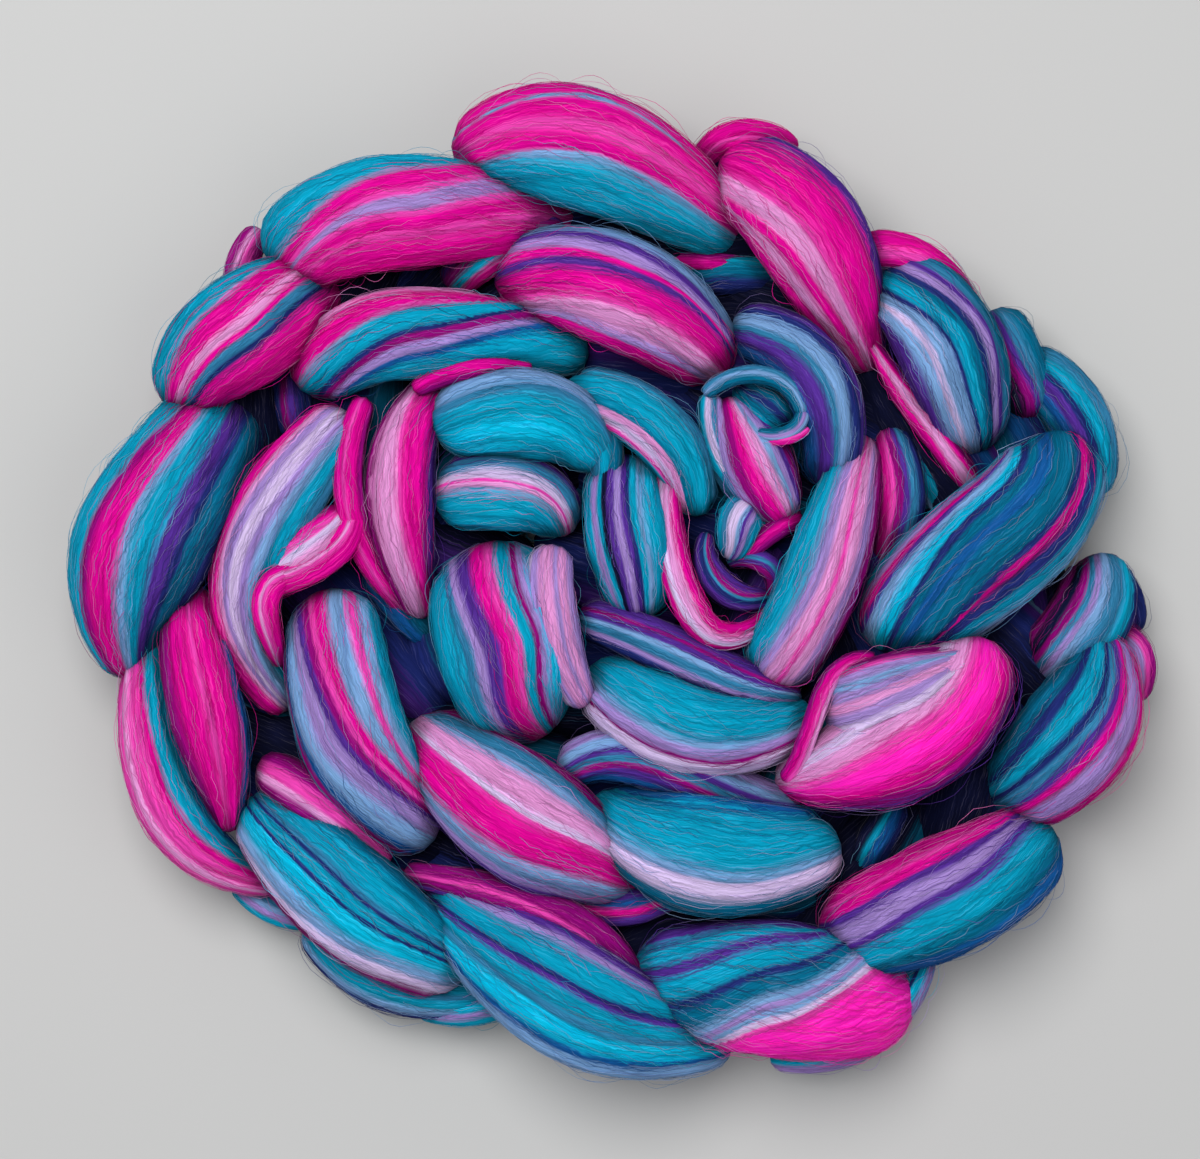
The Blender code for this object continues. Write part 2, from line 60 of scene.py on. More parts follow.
# One dictionary for each turn that shows: from start to end as seen from above, in mm; lean, the
# degrees between the chord and the strand at both ends, positive where it bulges to the left; width
# at the start, belly and end; height of the centre line there; and bands, the dyes from the left of
# its way to the right, each with its share of the width at the start, belly and end, or one share for
# all three. A row without lean is straight, and the belly lies halfway along unless the row says where.
rimTurns = [
    dict(name="rim1", start=(-86, 80), end=(-9, 92), lean=(35, 8), width=(24, 30, 9), belly=0.42,
         height=(24, 33, 17), bands="teal 52/14/-30, magenta 10/18/-4, rose 3/6/4, lilac 3/14/34, "
         "rose 2/5/8, magenta 8/12/22, rose 4/5/18, magenta 18/26/48"),
    dict(name="rim1out", start=(-90, 91), end=(-93, 66), lean=(-34, -34), width=(7, 9, 8),
         height=(13, 15, 13), bands="plum 26, rose 24, blush 20, plum 30"),
    dict(name="rim2", start=(-40, 107), end=(33, 88), lean=(42, 14), width=(15, 32, 15), belly=0.42,
         height=(24, 33, 18), bands="magenta 20/8/10, powder 2/3/3, magenta 22/12/12, rose 8/16/14, "
         "magenta 24/14/15, powder 3/5/6, teal 21/42/40"),
    dict(name="rim2under", start=(8, 84), end=(36, 82), lean=(-6, -6), width=(4, 6, 4),
         height=(18, 20, 18), bands="plum 40, magenta 60"),
    dict(name="rim2low", start=(18, 77), end=(44, 78), lean=(10, 10), width=(8, 11, 8),
         height=(16, 18, 16), bands="teal 24, sea 30, navy 46"),
    dict(name="rim3", start=(27, 107), end=(66, 54), lean=(30, 14), width=(18, 28, 7), belly=0.42,
         height=(25, 33, 20), bands="violet 3/7/0, magenta 60/46/42, rose 4/4/6, blush 26/17/18, "
         "magenta 3/10/14, blush 2/10/12, magenta 2/6/8"),
    dict(name="rim3knot", start=(22, 106), end=(47, 110), lean=(55, 35), width=(8, 10, 7),
         height=(18, 25, 20), bands="magenta 50, rose 10, magenta 30, violet 10"),
    dict(name="rim4", start=(68, 79), end=(93, 33), lean=(29, 12), width=(20, 26, 14),
         height=(24, 33, 19), bands="sea 14/5/6, haze 8/4/4, violet 6/5/6, lilac 10/8/6, navy 8/7/6, "
         "sea 6/7/6, teal 16/13/8, navy 6/5/4, powder 10/16/20, pearl 4/6/8, powder 6/12/14, violet 6/12/12"),
    dict(name="rim4edge", start=(63, 85), end=(93, 67), lean=(34, 28), width=(12, 10, 5), belly=0.4,
         height=(24, 28, 18), bands="magenta 60/40/20, rose 20/30/40, magenta 20/20/10, lilac 0/10/30"),
    dict(name="rim4inner", start=(65, 62), end=(92, 24), lean=(-8, -2), width=(3, 7, 7),
         height=(26, 27, 20), bands="plum 20/16/14, magenta 26/18/16, blush 22/32/40, magenta 32/34/30"),
    dict(name="rim4under", start=(72, 40), end=(85, 16), width=(6, 9, 7),
         height=(16, 20, 16), bands="blue 20, teal 50, powder 12, sea 18"),
    dict(name="rim4out", start=(97, 70), end=(106, 42), lean=(8, 12), width=(13, 15, 13),
         height=(16, 21, 18), bands="sea 34/26/12, haze 20/20/12, violet 12, plum 16/18/20, "
         "night 18/24/44"),
    dict(name="rim5out", start=(103, 56), end=(121, 22), lean=(42, 40), width=(16, 17, 10),
         height=(16, 19, 21), bands="haze 22/20/12, teal 24/22/20, navy 10/12/16, violet 14/16/20, "
         "blue 16/16/18, sea 14"),
    dict(name="rim5", start=(112, 39), end=(70, -18), lean=(42, -20), width=(24, 32, 25),
         height=(25, 33, 22), bands="powder 3/2/2, teal 9/8/10, navy 8/9/10, magenta 11/10/-10, navy 4/3/3, "
         "sea 26/25/22, blue 12/10/10, sea 10/8/6, navy 5, sky 5/8/14, powder 2/4/8, violet 2/3/7, "
         "magenta 1/2/7, lilac 1/2/6, teal 1/1/0"),
    dict(name="rim6", start=(125, 8), end=(109, -24), lean=(30, 15), width=(14, 21, 20),
         height=(16, 23, 18), bands="navy 6, teal 16/16/12, haze 20/26/24, powder 14/9/10, "
         "lilac 10/8/8, haze 8, plum 10, night 10/10/12, plum 6/7/10"),
    dict(name="rim6loop", start=(126, -12), end=(134, -30), lean=(58, 34), width=(6, 9, 6),
         height=(16, 20, 15), bands="plum 22, rose 16, lilac 36, violet 26"),
    dict(name="rim6under", start=(129, 3), end=(133, -13), lean=(10, 15), width=(8, 10, 8),
         height=(12, 13, 12), bands="navy 40, violet 30, blue 30"),
    dict(name="rim7", start=(124, -12), end=(97, -57), lean=(33, 24), width=(9, 29, 18),
         height=(24, 32, 19), bands="magenta 3/6/4, lilac 16/22/26, magenta 7/8/10, violet 10/8/6, "
         "haze 8/8/14, navy 8/8/6, teal 24/18/12, navy 10/10/8, sea 14/12/12"),
    dict(name="rim8", start=(112, -62), end=(53, -91), lean=(12, 4), width=(20, 30, 20),
         height=(21, 32, 24), bands="blue 22/11/2, sea 18/8/4, teal 36/32/30, violet 10/8/8, lilac 3/16/24, "
         "violet 4/6/6, magenta 3/8/12, rose 2/3/4, magenta 2/8/10"),
    dict(name="rim8low", start=(73, -54), end=(61, -76), width=(8, 11, 8),
         height=(17, 20, 16), bands="navy 24, blue 28, teal 14, night 34"),
    # painted shade: a near-black strand low in the gap under rim8
    dict(name="rim8dark", start=(83, -54), end=(74, -67), width=(7, 10, 7),
         height=(12, 13, 12), bands="night 40, violet 20, night 40"),
    dict(name="rim9", start=(5, -99), end=(77, -106), lean=(8, -6), width=(18, 35, 25),
         height=(23, 32, 18), bands="violet 10/2/-8, teal 26/5/-14, violet 10/6/-6, teal 28/18/-6, "
         "navy 8/6/-2, sea 26/15/4, powder 10/8/7, lilac 6, powder 4/6/4, pearl 4/7/8, rose 4/5/6, "
         "cerise -50/26/104"),
    dict(name="rim9under", start=(40, -120), end=(80, -93), lean=(-42, -38), width=(8, 12, 7),
         height=(17, 20, 18), bands="magenta 24/8/4, teal 24/30/36, navy 6/8/10, sky 22/24/24, "
         "lilac 24/30/26"),
    dict(name="rim10", start=(-47, -78), end=(31, -117), lean=(-10, -26), width=(12, 31, 10),
         height=(22, 33, 18), bands="violet 12/7/2, lilac 8/4/2, teal 26/24/12, navy 3, violet 6/5/6, "
         "teal 16/16/14, haze 8/8/6, sky 12/18/24, blue 3/4/5, powder 6/11/26"),
    dict(name="rim10top", start=(-53, -73), end=(9, -108), lean=(20, 38), width=(6, 13, 5), belly=0.62,
         height=(24, 30, 22), bands="plum 44, rose 10, plum 26, violet 20"),
    dict(name="rim11", start=(-92, -54), end=(-37, -100), lean=(-8, -8), width=(16, 28, 15),
         height=(23, 33, 19), bands="sea 12/10/10, teal 22/24/18, haze 5/5/4, navy 4/3/3, teal 14/12/8, "
         "navy 3/2/2, sky 24/24/22, powder 10/10/16, pearl 5/11/24, plum 2/3/3"),
    dict(name="rim11top", start=(-90, -46), end=(-56, -70), lean=(16, 6), width=(10, 13, 5), belly=0.32,
         height=(25, 31, 28), bands="plum 30, rose 30/28/26, blush 14/14/10, plum 26/28/34"),
    dict(name="rim11side", start=(-97, -77), end=(-78, -87), lean=(-14, -14), width=(5, 7, 5),
         height=(12, 14, 12), bands="haze 24, powder 26, lilac 26, teal 24"),
    dict(name="rim11under", start=(-78, -87), end=(-28, -104), lean=(-32, -28), width=(9, 15, 9), belly=0.45,
         height=(13, 16, 14), bands="plum 6, powder 14, teal 26, haze 12, teal 24, powder 12, navy 6"),
    dict(name="rim11loop", start=(-51, -107), end=(-23, -105), lean=(-14, -10), width=(8, 12, 8),
         height=(12, 14, 13), bands="night 14, plum 14, lilac 20, sky 20, lilac 16, teal 16"),
    dict(name="rim12", start=(-108, 0), end=(-97, -63), lean=(-2, 8), width=(12, 19, 4),
         height=(24, 34, 24), bands="blue 2/5/4, magenta 38/34/38, rose 8/10/8, magenta 38/37/34, "
         "plum 14/14/16"),
    dict(name="rim12out", start=(-116, -8), end=(-85, -77), lean=(-36, -54), width=(9, 17, 6), belly=0.55,
         height=(20, 26, 16), bands="blue 10/4/0, teal 50/36/22, magenta 4/8/18, rose 20/30/34, "
         "blush 8/10/12, rose 8/12/14"),
    dict(name="rim13", start=(-97, 48), end=(-122, -24), lean=(-3, -36), width=(26, 36, 9),
         height=(18, 33, 21), bands="navy 10/5/0, sea 16/14/10, navy 6/4/4, violet 14/12/10, teal 19/20/12, "
         "powder 1/5/14, magenta 12/22/34, plum 4, teal 18/14/12"),
    dict(name="rim14", start=(-111, 44), end=(-70, 78), lean=(26, 4), width=(15, 30, 18),
         height=(24, 32, 18), bands="teal 34/22/-2, magenta 18/20/20, blush 8/10/12, magenta 5/5/6, "
         "haze 9/9/16, navy 4/4/6, magenta 22/30/42"),
    dict(name="rim14under", start=(-82, 56), end=(-80, 36), width=(9, 11, 9),
         height=(16, 18, 16), bands="navy 40, violet 24, plum 18, navy 18"),
]
midTurns = [
    dict(name="mid1", start=(-79, 49), end=(-6, 58), lean=(43, 14), width=(17, 23, 12), belly=0.42,
         height=(24, 34, 22), bands="blush 3/2/-4, magenta 42/18/-22, teal 34/26/-6, navy 4/4/2, "
         "plum 8/11/8, lilac 4/12/14, blue 2/7/10, teal 3/20/98"),
    dict(name="mid2", start=(-30, 76), end=(29, 53), lean=(38, 25), width=(18, 29, 14),
         height=(22, 34, 22), bands="powder 5/10/8, violet 8/7/8, lilac 10/9/2, magenta 14/4/2, "
         "violet 12/6/2, magenta 34/24/28, rose 2/4/6, blush 8/22/24, lilac 2/5/6, magenta 7/10/14"),
    dict(name="mid2top", start=(-42, 75), end=(-12, 90), lean=(20, 24), width=(10, 12, 7), belly=0.4,
         height=(20, 25, 24), bands="violet 24, plum 30, teal 22, magenta 24"),
    dict(name="mid3", start=(30, 65), end=(54, 24), lean=(54, 46), width=(14, 19, 12),
         height=(24, 33, 22), bands="violet 16/8/6, navy 8/12/14, powder 20/22/18, haze 12/10/8, "
         "violet 26/28/30, blue 18/20/24"),
    dict(name="mid4", start=(64, 38), end=(38, -25), lean=(4, 12), width=(9, 21, 19), belly=0.55,
         height=(22, 34, 25), bands="plum 8/5/4, lilac 14/14/12, blush 16/14/16, rose 5/4/5, "
         "blush 16/15/20, lilac 16/14/12, teal 22/38/30"),
    dict(name="mid4side", start=(70, 40), end=(69, 4), lean=(20, 25), width=(9, 13, 8),
         height=(20, 25, 20), bands="navy 20, haze 18, violet 12, plum 16, rose 12, magenta 12, plum 10"),
    dict(name="mid6", start=(92, -13), end=(41, -50), lean=(44, 26), width=(21, 31, 8), belly=0.44,
         height=(31, 35, 26), bands="violet 3/5/3, plum 6/10/5, magenta 10/12/8, cerise 30/26/12, "
         "rose 8/9/12, blush 24/16/26, pearl 10/12/14, blush 9/10/20"),
    dict(name="mid6field", start=(93, -20), end=(53, -33), lean=(10, 8), width=(11, 24, 22), belly=0.6,
         height=(35, 36, 31), bands="rose 4/4/12, blush 70/30/12, pearl 6/12/12, lilac 2/12/14, "
         "blush 6/12/12, lilac 1/8/12, powder 1/6/8, lilac 1/8/8, rose 3/4/6, plum 6/5/5"),
    dict(name="mid6edge", start=(66, -18.5), end=(43, -50), lean=(-58, 6), width=(3, 5, 5),
         height=(34, 37, 30), bands="blush 24, rose 26, magenta 34, plum 16"),
    dict(name="mid7", start=(-5, -54), end=(58, -66), lean=(-33, -24), width=(12, 31, 17),
         height=(24, 34, 24), bands="blue 8/6/4, teal 62/56/54, powder 8/6/6, pearl 14/18/18, sea 8/14/18"),
    dict(name="mid7low", start=(20, -79), end=(58, -77), lean=(-16, -22), width=(6, 10, 6),
         height=(18, 20, 17), bands="sea 30, teal 20, sea 30, navy 20"),
    dict(name="mid7top", start=(-13, -48), end=(48, -57), lean=(48, -8), width=(10, 15, 9), belly=0.4,
         height=(28, 31, 24), bands="lilac 16, powder 20, violet 12, haze 14, plum 12, violet 14, blue 12"),
    dict(name="mid8", start=(-6, -21), end=(51, -32), lean=(-35, -43), width=(16, 24, 12), belly=0.4,
         height=(24, 34, 24), bands="teal 60, powder 8/6/4, lilac 14/13/12, plum 2/2/3, "
         "pearl 16/19/21"),
    dict(name="mid8top", start=(-9, -8), end=(48, -29), lean=(8, -14), width=(11, 14, 8),
         height=(26, 30, 25), bands="violet 26/22/20, plum 6/6/2, violet 14/12/16, powder 8/12/4, "
         "haze 18/20/16, lilac 6/8/2, navy 22/20/40"),
    dict(name="mid9", start=(-51, -35), end=(7, -77), lean=(-8, -8), width=(14, 31, 12),
         height=(24, 34, 21), bands="plum 5/2/2, haze 14/8/4, powder 8/6/4, blush 24/22/14, pearl 6/6/4, "
         "rose 3/3/4, magenta 38/35/30, powder 2/13/28, lilac 1/3/6, violet 1/3/4"),
    dict(name="mid9under", start=(-14, -80), end=(20, -76), lean=(-26, -26), width=(7, 10, 6),
         height=(20, 24, 22), bands="violet 30, blue 16, magenta 24, violet 30"),
    # painted shade: a near-black strand low in the gap beside mid9
    dict(name="mid9gap", start=(-49, -16), end=(-48, -29), width=(8, 10, 8),
         height=(12, 14, 12), bands="night 40, plum 16, night 44"),
    dict(name="mid10", start=(-71, -1), end=(-45, -65), lean=(-18, -34), width=(22, 28, 16),
         height=(25, 34, 22), bands="teal 14/9/1, powder 8/6/2, rose 14/6/1, powder 22/14/3, "
         "magenta 14/8/5, rose 6/5/3, plum 8/7/5, violet 4/6/4, lilac 4/20/20, powder 2/12/28, "
         "blue 1/5/12, plum 1/1/6, haze 1/1/10"),
    dict(name="mid11", start=(-66, 43), end=(-82, -32), lean=(-31, -58), width=(14, 21, 9), belly=0.36,
         height=(27, 33, 21), bands="haze 14/12/2, teal 16/18/8, powder 12/15/26, lilac 12/12/6, "
         "pearl 18/14/6, lilac 12/10/6, blush 6/6/8, magenta 10/13/38"),
    dict(name="mid11blue", start=(-66, 36), end=(-92, -4), lean=(-4, -28), width=(6, 9, 5), belly=0.4,
         height=(29, 32, 26), bands="teal 24, powder 22, teal 26, powder 28"),
    dict(name="mid11fold", start=(-62, 47), end=(-50, -9), lean=(-36, -36), width=(6, 8, 3), belly=0.4,
         height=(30, 34, 20), bands="plum 16, magenta 40, rose 12, magenta 32"),
    dict(name="mid11hook", start=(-64.5, 18), end=(-86, 0), lean=(46, 23), width=(6, 9, 8),
         height=(34, 34, 38), bands="magenta 46, rose 14, blush 10, magenta 30"),
    dict(name="mid11tail", start=(-80, 2.5), end=(-83.5, -21), lean=(-66, -20), width=(7, 7.5, 3), belly=0.4,
         height=(37, 39, 28), bands="magenta 44, rose 14, blush 12, magenta 30"),
    dict(name="mid11pink", start=(-67, 19), end=(-90, -3), lean=(10, -14), width=(7, 14, 5),
         height=(31, 33, 30), bands="magenta 10, blush 30, pearl 14, rose 16, magenta 18, plum 12"),
    dict(name="mid12", start=(-40, 53), end=(-48, -9), lean=(-44, -24), width=(8, 17, 6), belly=0.52,
         height=(27, 33, 22), bands="violet 8/6/4, magenta 76/38/24, rose 6, blush 8/44/60, plum 2/6/6"),
    dict(name="mid12under", start=(-62, 4), end=(-46, -15), lean=(-5, -5), width=(7, 10, 7),
         height=(18, 20, 17), bands="sea 50, blue 50"),
]
heartTurns = [
    dict(name="heart1", start=(-45, 38), end=(-2, 28), lean=(38, 58), width=(17, 23, 12), belly=0.45,
         height=(31, 37, 28), bands="powder 22/18/12, haze 12/10/8, teal 26/28/30, sky 26/28/34, "
         "teal 14/16/16"),
    dict(name="heart1turn", start=(-5, 46), end=(-5, 18), lean=(30, 30), width=(8, 9, 6), belly=0.4,
         height=(31, 32, 26), bands="sea 40, teal 40, haze 20"),
    dict(name="heart1strip", start=(-50, 48.5), end=(-20, 54), lean=(20, 14), width=(5, 6, 3),
         height=(34, 37, 34), bands="magenta 70, plum 30"),
    dict(name="heart2", start=(-45, 21), end=(-12, 12), lean=(26, 58), width=(16, 21, 12), belly=0.45,
         height=(28, 34, 26), bands="violet 5/5/6, haze 16/16/18, pearl 12/13/14, rose 4, blush 6, "
         "teal 57/56/52"),
    dict(name="heart3", start=(-29.5, 11), end=(-16, -38), lean=(-12, -24), width=(32, 38, 22),
         height=(25, 34, 22), bands="sky 30/25/32, lilac 5/3/4, plum 5/4/5, teal 12/9/9, rose 8/5/6, "
         "magenta 12/9/14, violet 10/11/10, lilac 4/7/3, haze 4/7/5, teal 10/20/12"),
    dict(name="heart3side", start=(-15, 10), end=(-6.5, -31), lean=(-20, -17), width=(11, 12, 7), belly=0.4,
         height=(32, 39.5, 31), bands="lilac 12, blush 20, lilac 8, blush 34, lilac 12, pearl 8"),
    dict(name="heart4", start=(-12, 48), end=(21, 17), lean=(42, 46), width=(13, 16, 10),
         height=(28, 35, 27), bands="haze 8, teal 54/54/62, sea 4/3/3, blush 14/14/10, pearl 12/12/8, "
         "rose 4/4/3, teal 4/5/6"),
    dict(name="heart5", start=(3, 33), end=(8, -9), lean=(-10, -4), width=(18, 22, 13),
         height=(26, 32, 26), bands="teal 30, powder 5, teal 9, navy 4, violet 7, lilac 9, violet 7, "
         "night 6, teal 8, lilac 5, teal 10"),
    dict(name="heart5hook", start=(14, 28), end=(42, -5), lean=(-48, -98), width=(6, 9, 4),
         height=(31, 34, 28), bands="magenta 36/40/66, blush 30/28/20, pearl 16/14/8, magenta 18/18/6"),
    dict(name="heart5swirl", start=(24, 13), end=(40, -3), lean=(-66, -66), width=(4, 8, 5), belly=0.55,
         height=(29, 30, 27), bands="violet 26, plum 18, haze 12, navy 20, violet 24"),
    dict(name="heart5turn", start=(40, -4), end=(29, 5), lean=(-86, -74), width=(5, 6, 3),
         height=(28, 30, 27), bands="plum 26, violet 24, haze 20, violet 30"),
    dict(name="heart5core", start=(27, 6), end=(34, -1), lean=(-80, -80), width=(3, 4, 3),
         height=(27, 28, 26), bands="violet 50, plum 30, navy 20"),
    dict(name="heart6", start=(23, 47), end=(47.5, 42), lean=(60, 68), width=(4, 5, 4),
         height=(35, 38, 37), bands="haze 30, powder 24, sea 46"),
    dict(name="heart6lip", start=(47.5, 43.5), end=(36, 38), lean=(62, 50), width=(4, 4, 3), belly=0.4,
         height=(37, 38, 37), bands="powder 26, lilac 24, sea 50"),
    dict(name="heart6hollow", start=(31, 50), end=(45, 39), width=(6, 11, 7), belly=0.6,
         height=(30, 32, 30), bands="sea 34, navy 20, sea 20, teal 26"),
    dict(name="heart6fan", start=(29, 47), end=(44, 15), lean=(-14, -4), width=(8, 20, 9),
         height=(31, 31, 28), bands="plum 4/10/8, violet 14/4/4, lilac 12/8/8, powder 8/6/4, "
         "blush 10/18/16, rose 4/8/10, magenta 6/10/20, plum 12/14/14, lilac 20/10/4, haze 10/12/6"),
    dict(name="heart6side", start=(25, 48), end=(38, 20), lean=(-34, -34), width=(6, 7, 4),
         height=(33, 33, 30), bands="lilac 26, haze 24, pearl 24, teal 26"),
    dict(name="heart6rim", start=(36.5, 37), end=(49, 39), lean=(-34, -34), width=(1.5, 3, 2),
         height=(36, 38, 37), bands="plum 30, rose 40, magenta 30"),
    dict(name="heart6tie", start=(48, 17), end=(31, 5), lean=(-18, -8), width=(7, 6, 4), belly=0.35,
         height=(27, 31, 28), bands="plum 34, magenta 36, plum 30"),
    dict(name="heart7", start=(29, 6), end=(36, 21), lean=(-6, 40), width=(5, 11, 8), belly=0.6,
         height=(29, 33, 30), bands="teal 14, haze 8, pearl 26, powder 10, violet 8, lilac 12, haze 10, "
         "teal 12"),
    dict(name="heart7curl", start=(27, 17), end=(38, 13), lean=(72, 62), width=(3, 4, 3),
         height=(30, 32, 29), bands="teal 34, powder 36, violet 30"),
]

# Soft folds of a turn: where along and across it, how long and wide as shares of it, and mm high or deep
folds = dict(
    mid6field=[dict(at=0.35, side=0.55, long=0.1, wide=0.16, deep=1.2),
               dict(at=0.62, side=0.3, long=0.2, wide=0.07, deep=-1.6),
               dict(at=0.6, side=0.7, long=0.25, wide=0.07, deep=-1.2)],
    mid6=[dict(at=0.5, side=0.55, long=0.3, wide=0.06, deep=-1.4)],
    mid10=[dict(at=0.3, side=0.35, long=0.2, wide=0.05, deep=-1.6),
           dict(at=0.6, side=0.5, long=0.3, wide=0.05, deep=-1.4)],
    mid11=[dict(at=0.45, side=0.5, long=0.4, wide=0.06, deep=-1.8),
           dict(at=0.5, side=0.25, long=0.3, wide=0.06, deep=-1.4)],
    rim3=[dict(at=0.55, side=0.6, long=0.3, wide=0.05, deep=-1.6),
          dict(at=0.8, side=0.72, long=0.2, wide=0.06, deep=-1.4)],
    rim4=[dict(at=0.5, side=0.5, long=0.35, wide=0.05, deep=-1.8),
          dict(at=0.45, side=0.75, long=0.3, wide=0.05, deep=-1.4)],
    rim5=[dict(at=0.5, side=0.2, long=0.35, wide=0.04, deep=-1.6),
          dict(at=0.6, side=0.7, long=0.3, wide=0.05, deep=-1.8)],
    rim9=[dict(at=0.35, side=0.35, long=0.3, wide=0.05, deep=-1.4),
          dict(at=0.65, side=0.45, long=0.25, wide=0.06, deep=-1.6)],
    mid8=[dict(at=0.5, side=0.62, long=0.4, wide=0.06, deep=-1.4)],
    rim10=[dict(at=0.5, side=0.4, long=0.4, wide=0.04, deep=-1.4),
           dict(at=0.5, side=0.68, long=0.4, wide=0.04, deep=-1.4)],
)

# The backs of the chain's links, low down under two turns that follow each other; their bands are mostly
# near-black night, painted shade for the shadow down between the turns, with thin bands of the wool's dyes
backsOf = [
    dict(turns="rim1 rim2 rim3 rim4 rim5 rim7 rim8 rim9 rim10 rim11 rim12 rim13 rim14", inset=0.925,
         bands=["sea 5, teal 7, powder 3, violet 6, navy 15, night 64",
                "violet 5, plum 6, lilac 3, magenta 4, navy 14, night 68",
                "blue 5, teal 6, haze 4, navy 8, sea 10, night 67",
                "plum 4, rose 3, violet 7, blue 6, navy 14, night 66"]),
    dict(turns="mid1 mid2 mid3 mid4side mid6 mid7 mid9 mid10 mid11", inset=0.97,
         bands=["night 30, navy 30, sea 20, night 20", "night 40, violet 24, navy 36"]),
    dict(turns="mid12 heart1 heart4 mid4 mid8 heart3", inset=0.97,
         bands=["night 30, sea 20, navy 50", "navy 40, violet 20, night 40"]),
]
backShape = dict(width=34, height=11.5, overlap=24, slant=-24)
# Low strands under the turns, dark night and navy: painted shade that fills the gaps deep between turns
crossings = [
    dict(name="low1", start=(-12, 32), end=(30, 20), width=(20, 30, 20),
         height=(12, 12, 12), bands="night 40, navy 40, sea 20"),
    dict(name="low2", start=(-20, 12), end=(24, -2), width=(20, 30, 26),
         height=(12, 12, 12), bands="night 40, navy 40, violet 20"),
    dict(name="low3", start=(-50, 4), end=(-36, -31), width=(16, 26, 16),
         height=(12, 12, 12), bands="night 30, sea 30, navy 40"),
    dict(name="low4", start=(-52, -66), end=(-22, -78), width=(10, 18, 10),
         height=(11, 13, 11), bands="night 50, navy 50"),
    dict(name="low5", start=(94, 56), end=(113, 18), lean=(6, 8), width=(10, 19, 10),
         height=(12, 13, 12), bands="navy 40, blue 30, sea 30"),
    dict(name="low6", start=(50, -4), end=(60, -30), width=(12, 20, 12),
         height=(12, 13, 12), bands="night 50, navy 50"),
    dict(name="low7", start=(107, 12), end=(110, -14), width=(12, 18, 12),
         height=(11, 12, 11), bands="night 40, violet 20, navy 40"),
    dict(name="low8", start=(12, 54), end=(30, 36), width=(12, 18, 12),
         height=(12, 14, 12), bands="night 50, navy 50"),
]

# How every turn is made up: lengths in mm, pleats as how many there are and how high, girth over pi * width
roving = dict(roundness=1.06, roundLimit=100.0, bandRelief=0.2, deepestCrease=1.3, sway=0.02, swayTurns=1.4,
              pleats=((3, 0.35), (5, 0.3), (8, 0.2), (11, 0.16), (15, 0.1)), pleatDrift=0.16, driftTurns=0.7,
              pleatFade=(0.65, 0.35), fadeTurns=1.1, fullWidth=22, girth=0.86, leastShare=0.2, closer=0.07)
measured = np.linspace(0, 1, 101)  # the steps of s at which a turn's length is measured


def arm(angle):
    # length of a Bezier handle over the chord for a round arc: 2 / 3(1 + cos angle)
    return 2 / (3 * (1 + math.cos(math.radians(angle))))


def swell(s, belly, atStart, atBelly, atEnd):
    # rises and falls as a sine: end + (belly - end) * sin(90 degrees * share of the way to the belly)
    rising = s < belly
    share = np.where(rising, s / belly, (1 - s) / (1 - belly))
    ends = np.where(rising, atStart, atEnd)
    return ends + (atBelly - ends) * np.sin(share * math.pi / 2)


def eased(share):
    # half straight, half as a smooth step: (x + x^2 (3 - 2x)) / 2
    return (share + share * share * (3 - 2 * share)) / 2


def parseBands(text):
    # "teal 30/20/10, plum 8" to names and their shares at the start, belly and end; nought stands for the
    # least share, and one under nought means that the band has slid off that edge before it gets there
    names, shares = [], []
    for word in text.split(","):
        name, numbers = word.split()
        found = [float(number) or roving["leastShare"] for number in numbers.split("/")]
        names.append(name)
        shares.append(found if len(found) == 3 else found * 3)
    shares = np.array(shares)
    return names, shares / shares.sum(axis=0)


def prepare(turn, seed):
    # adds to a turn what all its points share: handles, length, bands and its own random phases
    turn.setdefault("belly", 0.5)
    turn.setdefault("lean", (0, 0))
    begin, ending = np.array(turn["start"], float), np.array(turn["end"], float)
    chord = np.linalg.norm(ending - begin)
    heading = math.atan2(*(ending - begin)[::-1])
    out = heading + math.radians(turn["lean"][0])
    home = heading - math.radians(turn["lean"][1])
    first = begin + chord * arm(turn["lean"][0]) * np.array((math.cos(out), math.sin(out)))
    last = ending - chord * arm(turn["lean"][1]) * np.array((math.cos(home), math.sin(home)))
    turn["handles"] = np.array((begin, first, last, ending))
    names, shares = parseBands(turn["bands"])
    turn["dyes"] = names
    turn["edges"] = np.vstack((np.zeros(3), np.cumsum(shares, axis=0)))
    turn["phases"] = np.random.default_rng(seed).uniform(0, 1, (12, 3))
    turn["seed"] = seed
    path, ways = centreLine(turn, measured)
    steps = np.linalg.norm(np.diff(path, axis=0), axis=1)
    turn["travel"] = np.concatenate(((0,), np.cumsum(steps)))
    turn["girth"] = math.pi * turn["width"][1] * roving["girth"]
    return turn


def centreLine(turn, s):
    # cubic Bezier: (1-s)^3 a + 3(1-s)^2 s b + 3(1-s) s^2 c + s^3 d, and its unit direction
    a, b, c, d = turn["handles"]
    s = s[..., None]
    r = 1 - s
    points = r**3 * a + 3 * r * r * s * b + 3 * r * s * s * c + s**3 * d
    slopes = r * r * (b - a) + 2 * r * s * (c - b) + s * s * (d - c)
    return points, slopes / np.linalg.norm(slopes, axis=-1, keepdims=True)


